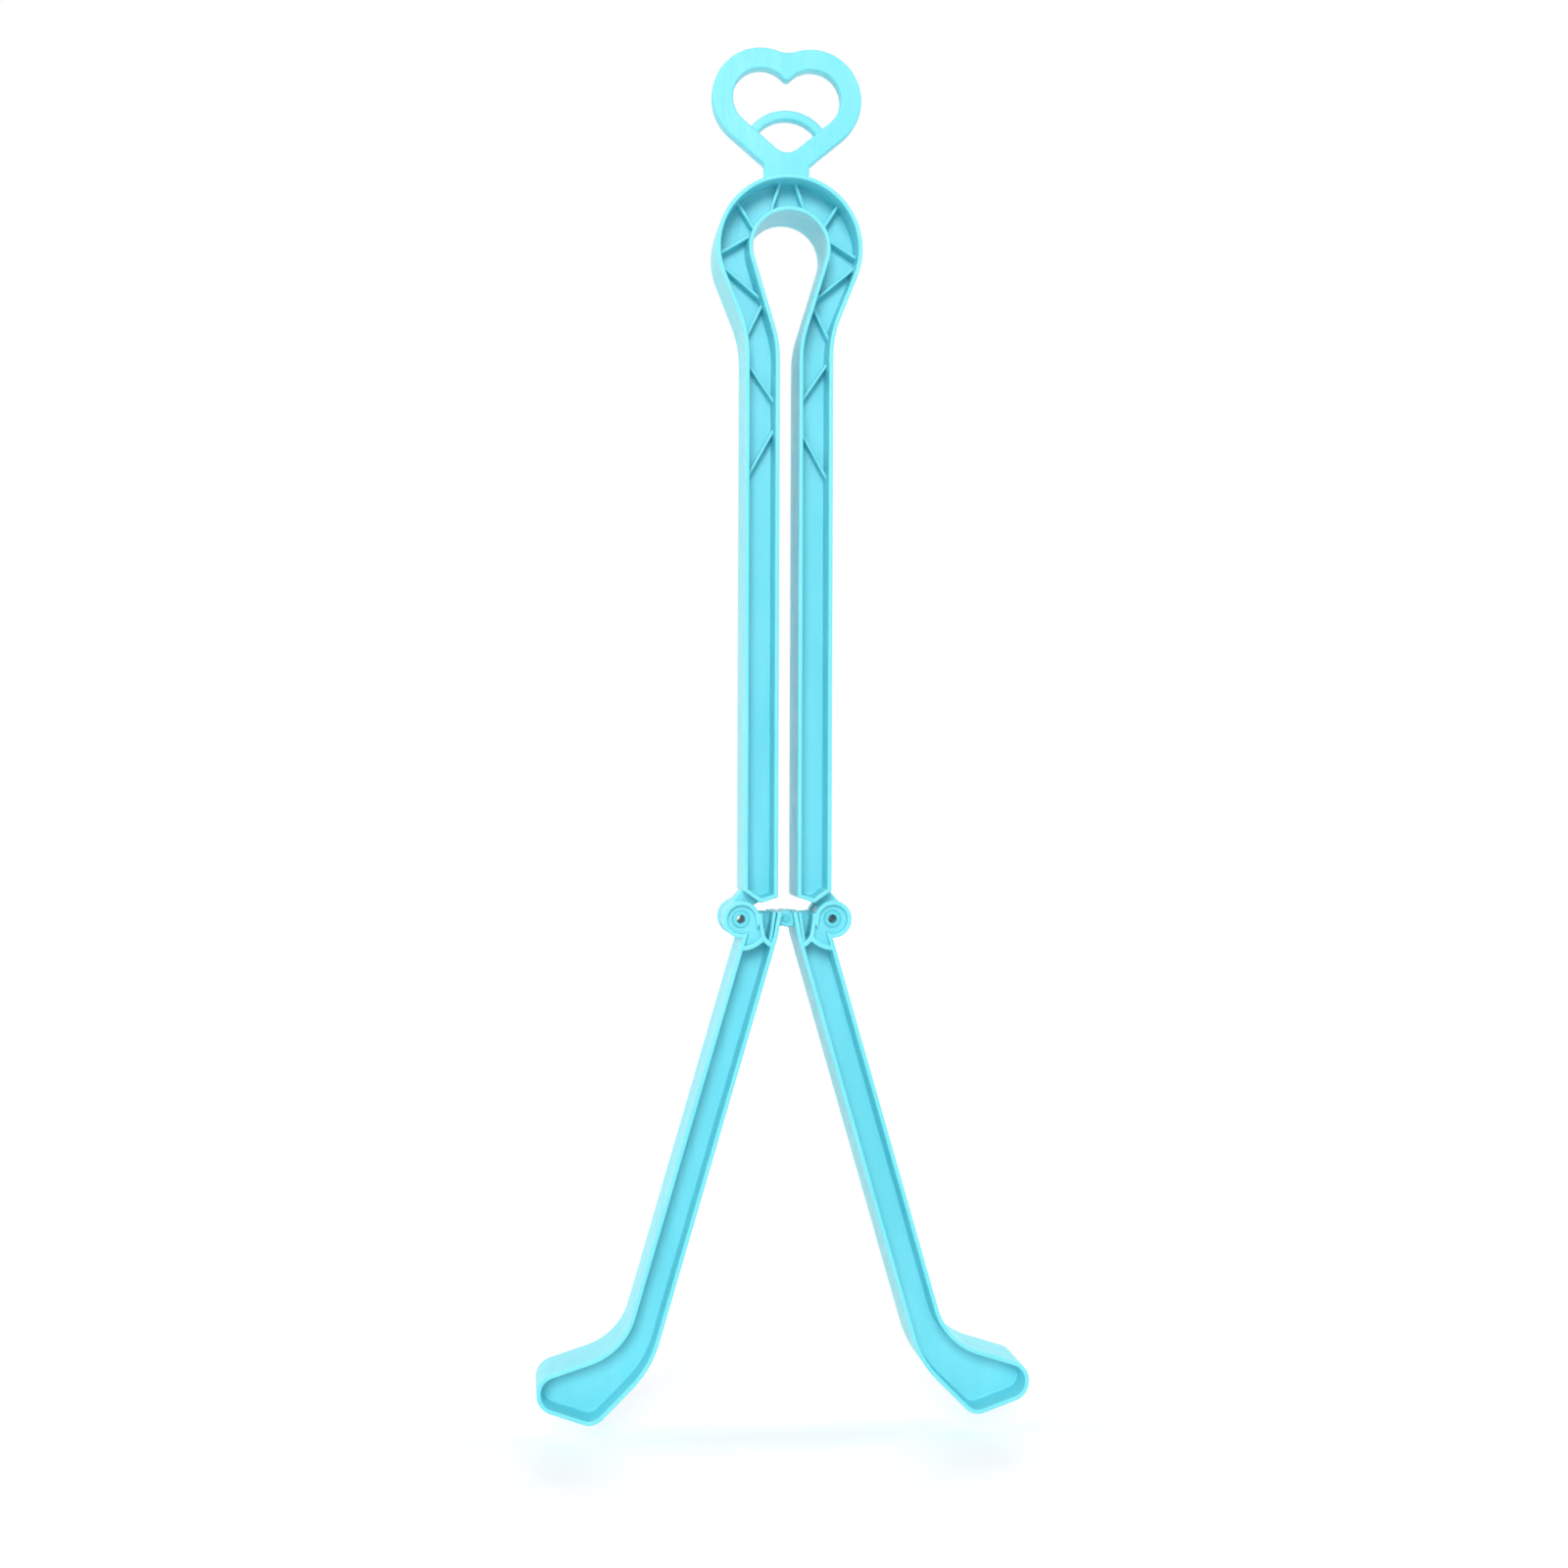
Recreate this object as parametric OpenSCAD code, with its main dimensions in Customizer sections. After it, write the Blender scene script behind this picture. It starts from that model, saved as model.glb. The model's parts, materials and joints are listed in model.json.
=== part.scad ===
// Boot shaper: two spread legs hinged under a squeeze handle with a hanging ring.
// Pressing the handle's arms together folds the legs; the bent arch pushes them apart again.
// X runs left to right, Y is the depth with the front at -Y, and Z is up. The feet stand on Z = 0.

/* [Section] */
// Depth of the arch, the arms and the legs, front to back
depth = 20; // [16:0.5:24]
// Thickness of the walls along the edges
wall = 1.2; // [0.9:0.1:1.5]
// Thickness of the web at mid-depth
web = 1.8; // [1.2:0.1:2.6]
// Thickness of the zigzag ribs
rib = 1; // [0.7:0.1:1.4]
// Height of the zigzag ribs above the web
rib_rise = 3.6; // [2:0.2:6]

/* [Hanging ring] */
// Outer radius of the two round lobes of the heart
lobe_r = 14.4; // [13:0.1:16]
// Distance of each lobe's centre from the middle
lobe_offset = 7.3; // [6:0.1:8]
// Width of the ring's band
band = 6; // [4.5:0.1:6.6]
// Thickness of the ring and its neck
ring_t = 4.5; // [3:0.1:6]
// Slope of the heart's straight lower sides
heart_slope = 40; // [36:1:44]
// Radius inside the heart's lower point
heart_tip_r = 5; // [3:0.5:6]
// Outer radius of the curved bar across the heart
bar_r = 13.5; // [12.5:0.1:14.5]
// Width of the curved bar
bar_w = 2.8; // [2:0.1:3.4]
// Distance of the curved bar's centre below the lobes' centres
bar_drop = 16.9; // [16:0.1:17.6]
// Width of the neck under the ring
neck_w = 13; // [11:0.5:15]
// Height of the neck above the arch
neck_h = 4.4; // [3:0.1:6]

/* [Handle] */
// Outer radius of the arch
arch_r = 21; // [20:0.2:22]
// Radius of the round hole in the arch
hole_r = 10.6; // [10:0.1:11.5]
// Height of the arch's centre above the pivots
arch_rise = 191.9; // [150:0.1:230]
// Width of each arm
arm_w = 9.8; // [9:0.1:10.6]
// Gap between the two arms
arm_gap = 5.6; // [5:0.1:6.4]
// Space between each arm's lower end and the cheeks below it
arm_end_gap = 1.7; // [1.5:0.1:3.2]
// Slope of the outer half of each arm's lower end
end_slope = 35; // [30:1:38]
// Slope of the inner half of each arm's lower end
end_rise = 18; // [12:1:24]
// Lean of the arch's outer sides where they run down to the arms
outer_lean = 22; // [18:1:26]
// Lean of the hole's sides where they run down to the gap
inner_lean = 17; // [14:1:20]
// Radius of the bends where the arch becomes the arms
bend_r = 30; // [20:1:40]

/* [Pivots] */
// Distance from the middle pivot to each side pivot
link = 13.2; // [13.1:0.1:13.6]
// Radius of the side pins
pin_r = 2.5; // [2:0.1:2.8]
// Radius of the hole through each side pin
pin_hole_r = 1.2; // [0.8:0.1:1.5]
// Length of each end of a side pin that stands out of its cheek
pin_proud = 0.4; // [0.2:0.1:0.8]
// Radius of the round cheeks at the top of each leg
cheek_r = 5.3; // [5:0.1:5.6]
// Thickness of each cheek
cheek_t = 3.5; // [2.5:0.1:4]
// Thickness of the arm's tongue between the cheeks
tongue_t = 8; // [6:0.5:9]
// Radius of the tongue's round end
tongue_r = 5; // [4.6:0.1:5.2]
// Radius of the middle pin
mid_pin_r = 1; // [0.8:0.1:1.1]
// Radius of the knuckles round the middle pin
knuckle_r = 2.3; // [2.2:0.1:2.6]
// Thickness of the left leg's single knuckle
knuckle_t = 5; // [4:0.5:6]
// Thickness of each of the right leg's two knuckles
fork_t = 3; // [2:0.2:3.6]

/* [Clearances] */
// Radial clearance of the arm's eye on its pin
running_fit = 0.05; // [0.03:0.01:0.1]
// Radial clearance of the pins where they are pushed into the legs
push_fit = 0.02; // [0.01:0.01:0.04]
// Side gap between the tongue and the cheeks, and between the knuckles
side_gap = 0.3; // [0.2:0.05:0.4]
// Space round a rounded end that turns inside another piece
turning_gap = 0.35; // [0.3:0.05:0.5]
// Clearance of the middle pin in the left leg's slotted eye
slot_gap = 0.25; // [0.15:0.05:0.35]

/* [Legs] */
// Angle of each leg to the vertical when spread
spread = 16.2; // [12:0.1:17]
// Angle that each leg turns in past upright when folded
overfold = 0.7; // [0:0.1:0.7]
// Width of each leg
leg_w = 9.7; // [9:0.1:9.9]
// Distance from the side pivot in to the leg's middle line
leg_offset = 6.5; // [6.2:0.1:6.6]
// Distance from the side pivot down to the corner of the heel
heel_drop = 149.5; // [120:0.5:165]
// Distance from the leg's outer edge out to the corner of the heel
heel_out = 1.35; // [0.5:0.05:2.5]
// Distance from the heel's corner up to the bend at its back
ankle_rise = 20; // [16:0.5:24]
// Distance from the heel's corner up to the instep
instep_rise = 23.2; // [20:0.2:28]
// Length of the flat of the sole, from the heel's corner to the toe's
sole = 17.3; // [14:0.1:22]
// Rise of the sole towards the toe
sole_rise = 1; // [0:0.1:2]
// Height of the toe's blunt end
toe_h = 8.2; // [8:0.1:9]
// Distance that the toe's upper corner lies further out than its lower one
toe_lean = 2.2; // [1:0.1:3]
// Radius of the heel's corner
heel_r = 5.2; // [4:0.1:6]
// Radius of the toe's two corners
toe_r = 5.8; // [4:0.1:5.8]
// Radius of the instep
instep_r = 18; // [12:0.5:20]
// Radius of the bend at the back of the heel
ankle_r = 30; // [20:1:34]

/* [Leg heads] */
// Depth of the head's rims and inner walls below the leg's face
head_sink = 0.1; // [0.1:0.1:1]
// Height of the head's upper edge above the pivots
head_rise = 2; // [1.6:0.1:2.4]
// Gap from the head's inner corner to the middle pivot
head_gap = 1.6; // [1.4:0.1:2]
// Drop of the inner edge's bend below the pivots
head_bend = 6; // [4:0.5:8]
// Middle radius of the curved wall round the side pivot
pivot_arc_r = 8.2; // [7.8:0.1:8.6]
// Middle radius of the curved wall round the middle pivot
centre_arc_r = 8.7; // [8.4:0.1:9.2]
// Thickness of the two curved walls
arc_wall = 1.4; // [1:0.1:1.8]
// Distance from the side pivot in to the upright post beside the round cheeks
post_x = 5.4; // [5.2:0.1:5.8]
// Distance from the middle pivot out to the thin stiffener, at its foot
stiffener_foot = 5; // [4.7:0.1:5.3]
// Distance from the middle pivot out to the thin stiffener, at its top
stiffener_top = 3.6; // [3.4:0.1:4]
// Depth of the thin stiffener's edge below the leg's face
stiffener_sink = 1; // [0.5:0.1:2]

/* [Hidden] */
plastic = "#7fe3f5";
$fn = 96;
half_depth = depth / 2;
// How far a cutter runs past what it cuts
past = 1;
// How far a shape runs on into what it joins or cuts, so that no two faces only touch
overlap = 0.2;

// Plane geometry. A corner list is counter-clockwise, and each corner is [x, z, radius]
function unit(v) = v / norm(v);
function left_of(v) = [-v.y, v.x];
function cross_of(a, b) = a.x * b.y - a.y * b.x;
function turned(p, angle) = [p.x * cos(angle) - p.y * sin(angle), p.x * sin(angle) + p.y * cos(angle)];
function reversed(list) = [for (i = [len(list) - 1:-1:0]) list[i]];
function mirrored(corners) = [for (c = reversed(corners)) [-c.x, c.y, c.z]];
function xy(corner) = [corner.x, corner.y];
function way_in(corners, i) = unit(xy(corners[i]) - xy(corners[(i + len(corners) - 1) % len(corners)]));
function way_out(corners, i) = unit(xy(corners[(i + 1) % len(corners)]) - xy(corners[i]));
function turn_at(corners, i) = cross_of(way_in(corners, i), way_out(corners, i));

// Distance from corner i back to where its arc starts
function set_back(corners, i) =
    corners[i].z * abs(turn_at(corners, i)) / (1 + way_in(corners, i) * way_out(corners, i));

// Centre of the arc that rounds corner i
function arc_centre(corners, i) =
    let (a = way_in(corners, i))
    xy(corners[i]) - set_back(corners, i) * a + sign(turn_at(corners, i)) * corners[i].z * left_of(a);

// Corner i moved in from the edge, with the radius that keeps its arc concentric
function inset_corner(corners, i, inset) =
    let (a = way_in(corners, i), b = way_out(corners, i))
    let (p = xy(corners[i]) + inset * (left_of(a) + left_of(b)) / (1 + a * b))
    [p.x, p.y, max(0, corners[i].z - inset * sign(cross_of(a, b)))];

// A front-view shape given thickness t about mid-depth
module plate(t) {
    rotate([90, 0, 0]) translate([0, 0, -t / 2]) linear_extrude(t) children();
}

// A front-view shape between two distances from mid-depth, on the front and again on the back
module both_sides(near, far) {
    for (side = [0, 1])
        mirror([0, side, 0]) translate([0, -near, 0]) rotate([90, 0, 0]) linear_extrude(far - near) children();
}

// The piece that rounding adds at an inner corner or takes away at an outer one
module corner_piece(corners, i) {
    a = way_in(corners, i);
    b = way_out(corners, i);
    back = set_back(corners, i);
    difference() {
        polygon([xy(corners[i]) - back * a, xy(corners[i]) + overlap * unit(a - b), xy(corners[i]) + back * b]);
        translate(arc_centre(corners, i)) circle(corners[i].z);
    }
}

// A solid of thickness t with straight sides and rounded corners, drawn inset from its edge
module rounded(corners, t, inset = 0) {
    moved = [for (i = [0:len(corners) - 1]) inset_corner(corners, i, inset)];
    places = [for (i = [0:len(moved) - 1]) if (moved[i].z > 0) i];
    difference() {
        union() {
            plate(t) polygon([for (c = moved) xy(c)]);
            for (i = places) if (turn_at(moved, i) < 0) plate(t) corner_piece(moved, i);
        }
        for (i = places) if (turn_at(moved, i) > 0) plate(t + past) corner_piece(moved, i);
    }
}

// The walls and the web of an outline, open to the front and to the back
module channel(corners) {
    difference() {
        rounded(corners, depth);
        rounded(corners, depth + past, wall);
    }
    rounded(corners, web, wall / 2);
}

// Leg outline, with the side pivot at the origin and the leg hanging straight down. The head's upper
// edge can be raised, which opens the recess behind it
leg_in = -leg_offset - leg_w / 2;
leg_out = -leg_offset + leg_w / 2;
heel_x = leg_out + heel_out;
function in_leg(p) = turned(p, -spread);
head_corner = [head_gap - link, head_rise];
bend = [leg_in, in_leg([-link, -head_bend]).y];
edge_up = unit(head_corner - turned(bend, spread));
function leg_corners(raised = 0) = concat(
    [
        [leg_in, ankle_rise - heel_drop, ankle_r],
        [heel_x, -heel_drop, heel_r],
        [heel_x + sole, sole_rise - heel_drop, toe_r],
        [heel_x + sole + toe_lean, sole_rise + toe_h - heel_drop, toe_r],
        [leg_out, instep_rise - heel_drop, instep_r],
        [leg_out, 0, 0]
    ],
    [for (p = [[0, head_rise + raised], head_corner + raised * edge_up]) concat(in_leg(p), 0)],
    [concat(bend, 0)]
);
leg_outline = leg_corners();

// The heel's lowest point stands on Z = 0 when the leg is spread
pivot_z = heel_r - turned(arc_centre(leg_outline, 1), spread).y;

// Half the distance that the middle eyes part as the legs fold, and where the middle pin then is in
// the left leg's slotted eye
fold = spread + overfold;
function half_part(angle) = link * (1 - cos(angle));
function pin_travel(angle) = -2 * (half_part(fold) - half_part(angle)) * [cos(fold - 2 * angle), sin(fold - 2 * angle)];
slot_end = pin_travel(0);
knuckle_near = knuckle_t / 2 + side_gap;
fork_far = knuckle_near + fork_t;
cheek_near = tongue_t / 2 + side_gap;
cheek_far = cheek_near + cheek_t;

// Handle outline, from the bottom of the right arm up over the arch and down the left one
arm_in = arm_gap / 2;
arm_out = arm_in + arm_w;
arm_mid = arm_in + arm_w / 2;
arch_z = pivot_z + arch_rise;
end_r = cheek_r + arm_end_gap;
function end_z(x) = pivot_z + (end_r + (x - link) * sin(end_slope)) / cos(end_slope);
end_corner_r = 0.8;
function arch_side(r, arm_x, lean) =
    let (shoulder = r * tan(lean / 2))
    [
        [arm_x, arch_z - shoulder - (r - arm_x) / tan(lean), bend_r],
        [r, arch_z - shoulder, r],
        [r, arch_z + r, r]
    ];
outer_side = concat([[arm_out, end_z(arm_out), end_corner_r]], arch_side(arch_r, arm_out, outer_lean));
inner_side = concat(
    reversed(arch_side(hole_r, arm_in, inner_lean)),
    [[arm_in, end_z(arm_mid) + (arm_mid - arm_in) * tan(end_rise), end_corner_r], [arm_mid, end_z(arm_mid), 0]]
);
handle_outline = concat(outer_side, mirrored(outer_side), mirrored(inner_side), inner_side);

// Zigzag ribs of one side, outer end first. In the arch each end is an angle from the horizontal,
// and below it each end is a distance from the arm's edge and a drop below the arch's centre
arch_ribs = [[85, 57], [44, 30], [-5, 30]];
tail_ribs = [
    [[7, 4], [5.4, 13.5]],
    [[-0.6, 25], [4.6, 15.5]],
    [[-0.6, 31.5], [0.6, 44]],
    [[-0.6, 66], [0.6, 50.5]]
];
rib_z = web / 2 + rib_rise;
function on_arch(r, angle) = [r * cos(angle), arch_z + r * sin(angle)];
function zigzag() = concat(
    [for (a = arch_ribs) [on_arch(arch_r, a[0]), on_arch(hole_r, a[1])]],
    [for (t = tail_ribs) [[arm_out + t[0].x, arch_z - t[0].y], [arm_in + t[1].x, arch_z - t[1].y]]]
);

// A straight strip of width w between two points, run on past both ends
module strip(from, to, w, beyond = 0) {
    along = unit(to - from);
    side = w / 2 * left_of(along);
    polygon([from - beyond * along - side, to + beyond * along - side,
        to + beyond * along + side, from - beyond * along + side]);
}

module zigzag_ribs() {
    intersection() {
        rounded(handle_outline, 2 * rib_z, wall / 2);
        for (side = [0, 1], ends = zigzag()) mirror([side, 0, 0]) plate(2 * rib_z) strip(ends[0], ends[1], rib, wall);
    }
}

// The heart: two round lobes over straight sides that meet in a point, which tip_r rounds
ring_z = arch_z + arch_r + neck_h + lobe_r * cos(heart_slope)
    + (lobe_offset + lobe_r * sin(heart_slope) - neck_w / 2) * tan(heart_slope);
module heart(r, t, tip_r = 0) {
    side = [lobe_offset + r * sin(heart_slope), ring_z - r * cos(heart_slope)];
    tip_z = side.y - side.x * tan(heart_slope) + tip_r / cos(heart_slope);
    tip = [tip_r * sin(heart_slope), tip_z - tip_r * cos(heart_slope)];
    plate(t) polygon([[-tip.x, tip.y], tip, side, [lobe_offset, ring_z], [-lobe_offset, ring_z], [-side.x, side.y]]);
    for (x = [-lobe_offset, lobe_offset]) plate(t) translate([x, ring_z]) circle(r);
    if (tip_r > 0) plate(t) translate([0, tip_z]) circle(tip_r);
}

// The soft dip between the tops of the lobes
dip_r = 8;
module ring_dip() {
    dip_z = sqrt(pow(lobe_r + dip_r, 2) - pow(lobe_offset, 2));
    touch = lobe_offset - lobe_r * lobe_offset / (lobe_r + dip_r);
    touch_z = lobe_r * dip_z / (lobe_r + dip_r);
    plate(ring_t) translate([0, ring_z]) difference() {
        polygon([[-touch, touch_z], [0, lobe_r / 2], [touch, touch_z]]);
        translate([0, dip_z]) circle(dip_r);
    }
}

module hanging_ring() {
    difference() {
        union() {
            heart(lobe_r, ring_t);
            ring_dip();
            plate(ring_t) translate([-neck_w / 2, arch_z + arch_r - wall]) square([neck_w, ring_z - arch_z - arch_r]);
        }
        heart(lobe_r - band, ring_t + past, heart_tip_r);
    }
    intersection() {
        heart(lobe_r - band / 2, ring_t);
        plate(ring_t) translate([0, ring_z - bar_drop]) difference() {
            circle(bar_r);
            circle(bar_r - bar_w);
        }
    }
}

// The flat tongue under an arm, with the eye for the side pin; the side pivot is at the origin
module tongue() {
    corner = [arm_out - link, end_z(arm_out) - pivot_z];
    tangent_angle = atan2(corner.y, corner.x) - acos(tongue_r / norm(corner));
    lean_in = 135;
    inner_x = arm_mid - link - 1;
    plate(tongue_t) polygon([
        [0, 0],
        tongue_r * [cos(tangent_angle), sin(tangent_angle)],
        corner,
        [corner.x - wall / 2, end_z(arm_out - wall / 2) - pivot_z + wall / 2],
        [inner_x, end_z(arm_mid) - pivot_z + wall / 2],
        tongue_r * [cos(lean_in), sin(lean_in)]
    ]);
    plate(tongue_t) circle(tongue_r);
}

module squeeze_handle() {
    color(plastic) difference() {
        union() {
            channel(handle_outline);
            zigzag_ribs();
            hanging_ring();
            for (side = [0, 1]) mirror([side, 0, 0]) translate([link, 0, pivot_z]) tongue();
        }
        for (x = [-link, link]) translate([x, 0, pivot_z]) plate(depth) circle(pin_r + running_fit);
    }
}

// Shapes drawn for a leg that hangs straight down, turned to where the leg stands spread
module limb() {
    rotate([0, -spread, 0]) children();
}

// Part of a curved wall, cut off at the line x = limit on one side
module arc_wall_about(centre, r, limit, keep) {
    t = depth - 2 * head_sink;
    intersection() {
        plate(t) translate(centre) difference() {
            circle(r + arc_wall / 2);
            circle(r - arc_wall / 2);
        }
        plate(depth) translate([limit + (keep < 0 ? -2 * r : 0), -2 * r]) square([2 * r, 2 * r]);
    }
}

// Where the two curved walls and the upright post meet
junction_x = (pow(link, 2) + pow(centre_arc_r, 2) - pow(pivot_arc_r, 2)) / (2 * link) - link;
junction = [junction_x, -sqrt(pow(pivot_arc_r, 2) - pow(junction_x, 2))];
module head_walls() {
    stiffener_low = [stiffener_foot - link, -sqrt(pow(centre_arc_r, 2) - pow(stiffener_foot, 2))];
    intersection() {
        limb() rounded(leg_outline, depth);
        union() {
            arc_wall_about([0, 0], pivot_arc_r, junction.x, 1);
            arc_wall_about([-link, 0], centre_arc_r, junction.x, -1);
            plate(depth - 2 * head_sink) strip(junction, [-post_x, 0], wall, head_rise);
            plate(depth - 2 * stiffener_sink)
                strip(stiffener_low, [stiffener_top - link, head_rise], rib);
        }
    }
}

// The floor of the pocket round the side pivot runs down from the round cheek to the curved wall
module below_cheek(edge, arc_r, post) {
    intersection() {
        limb() rounded(leg_outline, depth + 2 * past, edge);
        plate(depth + 2 * past) translate([-post, -arc_r]) square(arc_r);
        plate(depth + 2 * past) circle(arc_r);
    }
}

module front_and_back(near, far) {
    for (side = [0, 1]) mirror([0, side, 0]) intersection() {
        children();
        translate([-depth, near, -depth]) cube([2 * depth, far - near, 2 * depth]);
    }
}

// A leg without its knuckles, with the side pivot at the origin
module leg() {
    difference() {
        union() {
            limb() difference() {
                rounded(leg_outline, depth);
                rounded(leg_corners(past + wall), depth + past, wall);
            }
            limb() rounded(leg_outline, web, wall / 2);
            head_walls();
            both_sides(cheek_near, half_depth - head_sink) circle(cheek_r);
            front_and_back(cheek_near, cheek_far) below_cheek(wall / 2, pivot_arc_r, post_x);
        }
        both_sides(cheek_far, half_depth + past) circle(cheek_r - wall);
        front_and_back(cheek_far, half_depth + past)
            below_cheek(wall - overlap / 2, pivot_arc_r - (arc_wall - overlap) / 2, post_x - wall / 2);
        plate(2 * cheek_near) circle(tongue_r + turning_gap);
        plate(depth) circle(pin_r + push_fit);
    }
}

// The root of a knuckle, between the middle pivot and the leg's inner wall
module knuckle_root() {
    translate([-link, -knuckle_r]) square([head_gap + wall / 2, knuckle_r + head_rise - overlap]);
}

module right_leg() {
    centre = [-link, 0];
    stops = [for (angle = [0, fold / 2, fold]) centre + [-pin_travel(angle).x, pin_travel(angle).y]];
    color(plastic) translate([link, 0, pivot_z]) difference() {
        union() {
            leg();
            both_sides(knuckle_near, fork_far) knuckle_root();
            both_sides(knuckle_near, fork_far) translate(centre) circle(knuckle_r);
        }
        for (i = [0, 1]) plate(2 * knuckle_near)
            strip(stops[i], stops[i + 1], 2 * (knuckle_r + turning_gap) - overlap / 2);
        for (p = stops) plate(2 * knuckle_near) translate(p) circle(knuckle_r + turning_gap);
        plate(depth) translate(centre) circle(mid_pin_r + push_fit);
    }
}

module left_leg() {
    centre = [-link, 0];
    far = centre + slot_end;
    eye_r = mid_pin_r + slot_gap;
    color(plastic) mirror([1, 0, 0]) translate([link, 0, pivot_z]) difference() {
        union() {
            difference() {
                leg();
                both_sides(knuckle_t / 2, fork_far + side_gap) translate(centre) circle(knuckle_r + turning_gap);
            }
            plate(knuckle_t) knuckle_root();
            plate(knuckle_t) strip(centre, far, 2 * knuckle_r - overlap / 2);
            for (p = [centre, far]) plate(knuckle_t) translate(p) circle(knuckle_r);
        }
        plate(depth) strip(centre, far, 2 * eye_r - overlap / 2);
        for (p = [centre, far]) plate(depth) translate(p) circle(eye_r);
    }
}

// Hollow pin pushed into a leg's cheeks, on which the arm's tongue turns
module side_pin() {
    plate(2 * (cheek_far + pin_proud)) difference() {
        circle(pin_r);
        circle(pin_hole_r);
    }
}

module right_pivot_pin() {
    color(plastic) translate([link, 0, pivot_z]) side_pin();
}

module left_pivot_pin() {
    color(plastic) translate([-link, 0, pivot_z]) side_pin();
}

module middle_pin() {
    color(plastic) translate([0, 0, pivot_z]) plate(2 * (fork_far + pin_proud)) circle(mid_pin_r);
}

squeeze_handle();
left_leg();
right_leg();
left_pivot_pin();
right_pivot_pin();
middle_pin();
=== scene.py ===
# %% [markdown]
# # A boot shaper in moulded plastic
#
# A boot shaper keeps the shaft of a tall boot upright. This one is moulded in pale cyan polypropylene. A long
# handle is bent round at the top like a pair of tongs and carries a heart-shaped ring to hang it by. Two legs
# with blunt feet are hinged under the handle's arms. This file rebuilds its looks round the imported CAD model:
# every visible piece is a mesh made here, with rounded edges, drafted recesses and a procedural plastic.

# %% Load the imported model
import json
import math

import bmesh
import bpy
from mathutils import Matrix, Vector


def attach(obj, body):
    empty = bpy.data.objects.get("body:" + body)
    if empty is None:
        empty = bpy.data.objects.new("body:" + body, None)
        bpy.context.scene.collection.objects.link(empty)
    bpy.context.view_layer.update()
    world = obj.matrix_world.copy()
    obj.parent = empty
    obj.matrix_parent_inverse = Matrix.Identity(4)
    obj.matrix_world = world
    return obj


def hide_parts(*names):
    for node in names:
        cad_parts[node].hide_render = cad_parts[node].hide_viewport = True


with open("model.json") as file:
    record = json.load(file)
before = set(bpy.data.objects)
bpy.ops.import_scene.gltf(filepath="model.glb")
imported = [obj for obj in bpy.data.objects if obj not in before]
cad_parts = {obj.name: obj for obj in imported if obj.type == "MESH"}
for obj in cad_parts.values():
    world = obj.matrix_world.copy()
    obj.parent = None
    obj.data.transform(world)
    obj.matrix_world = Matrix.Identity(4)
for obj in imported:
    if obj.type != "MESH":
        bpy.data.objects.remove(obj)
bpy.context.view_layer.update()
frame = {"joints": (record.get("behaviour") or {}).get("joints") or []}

# %% [markdown]
# ## Camera
#
# The photograph looks at the shaper from about 650 mm, a little from its left, so that the left sides of the
# walls show. The camera is level, a little below the shaper's middle, and the top leans to the right by a
# fifth of a degree. The short distance matters, because it shows the deep walls on both sides of a recess.

# %% Camera
CAMERA_DISTANCE, CAMERA_HEIGHT = 0.65, 0.1815  # metres
CAMERA_AZIMUTH = math.radians(7)
CAMERA_ROLL = math.radians(0.2)
LENS = 51.5


def add_camera():
    aim = Vector((0, 0, CAMERA_HEIGHT))
    away = Vector((-math.sin(CAMERA_AZIMUTH), -math.cos(CAMERA_AZIMUTH), 0))
    camera = bpy.data.objects.new("camera", bpy.data.cameras.new("camera"))
    camera.location = aim + CAMERA_DISTANCE * away
    turn = (-away).to_track_quat("-Z", "Y").to_matrix().to_4x4() @ Matrix.Rotation(CAMERA_ROLL, 4, "Z")
    camera.rotation_euler = turn.to_euler()
    camera.data.lens = LENS
    camera.data.clip_start = 0.01
    bpy.context.scene.collection.objects.link(camera)
    bpy.context.scene.camera = camera
    return camera


print("camera at", [round(v, 3) for v in add_camera().location])

# %% [markdown]
# ## Outlines
#
# An injection-moulded part like this is a flat outline given depth, so its pieces start as outlines seen from
# the front, in millimetres. An outline is a list of corners (x, z, radius), counter-clockwise. Drawing it at
# an inset moves every side inwards and keeps the rounded corners concentric, as a real wall of even thickness
# does. Each inset has the same number of points, so that rings at two insets can be joined face by face.

# %% Outlines
ARC_STEP = math.radians(5)


def turned(point, angle):
    """The point turned counter-clockwise round the origin."""
    c, s = math.cos(angle), math.sin(angle)
    return Vector((point[0] * c - point[1] * s, point[0] * s + point[1] * c))


def outline(corners, inset=0.0):
    """The points of an outline drawn at an inset, with its corners rounded."""
    points = []
    for i, (x, z, radius) in enumerate(corners):
        here = Vector((x, z))
        before, after = Vector(corners[i - 1][:2]), Vector(corners[(i + 1) % len(corners)][:2])
        way_in, way_out = (here - before).normalized(), (after - here).normalized()
        turn = math.atan2(way_in.x * way_out.y - way_in.y * way_out.x, way_in.dot(way_out))
        left_in, left_out = turned(way_in, math.pi / 2), turned(way_out, math.pi / 2)
        corner = here + inset * (left_in + left_out) / (1 + way_in.dot(way_out))
        if radius == 0:
            points.append(corner)
            continue
        side = math.copysign(1, turn)
        radius = max(0.0, radius - inset * side)
        centre = corner - radius * math.tan(abs(turn) / 2) * way_in + side * radius * left_in
        steps = max(1, math.ceil(abs(turn) / ARC_STEP))
        spoke = -side * radius * left_in
        points += [centre + turned(spoke, turn * k / steps) for k in range(steps + 1)]
    return points


square = [(0, 0, 2), (10, 0, 2), (10, 10, 2), (0, 10, 2)]
print("a 10 mm square with 2 mm corners:", len(outline(square)), "points")

# %% [markdown]
# Discs and arcs are worked out from their centre and radius. An outline is handed on as a function of the
# inset, because a solid needs it at several insets. A mirror image lists its corners in reverse order, so
# that they stay counter-clockwise.

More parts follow.
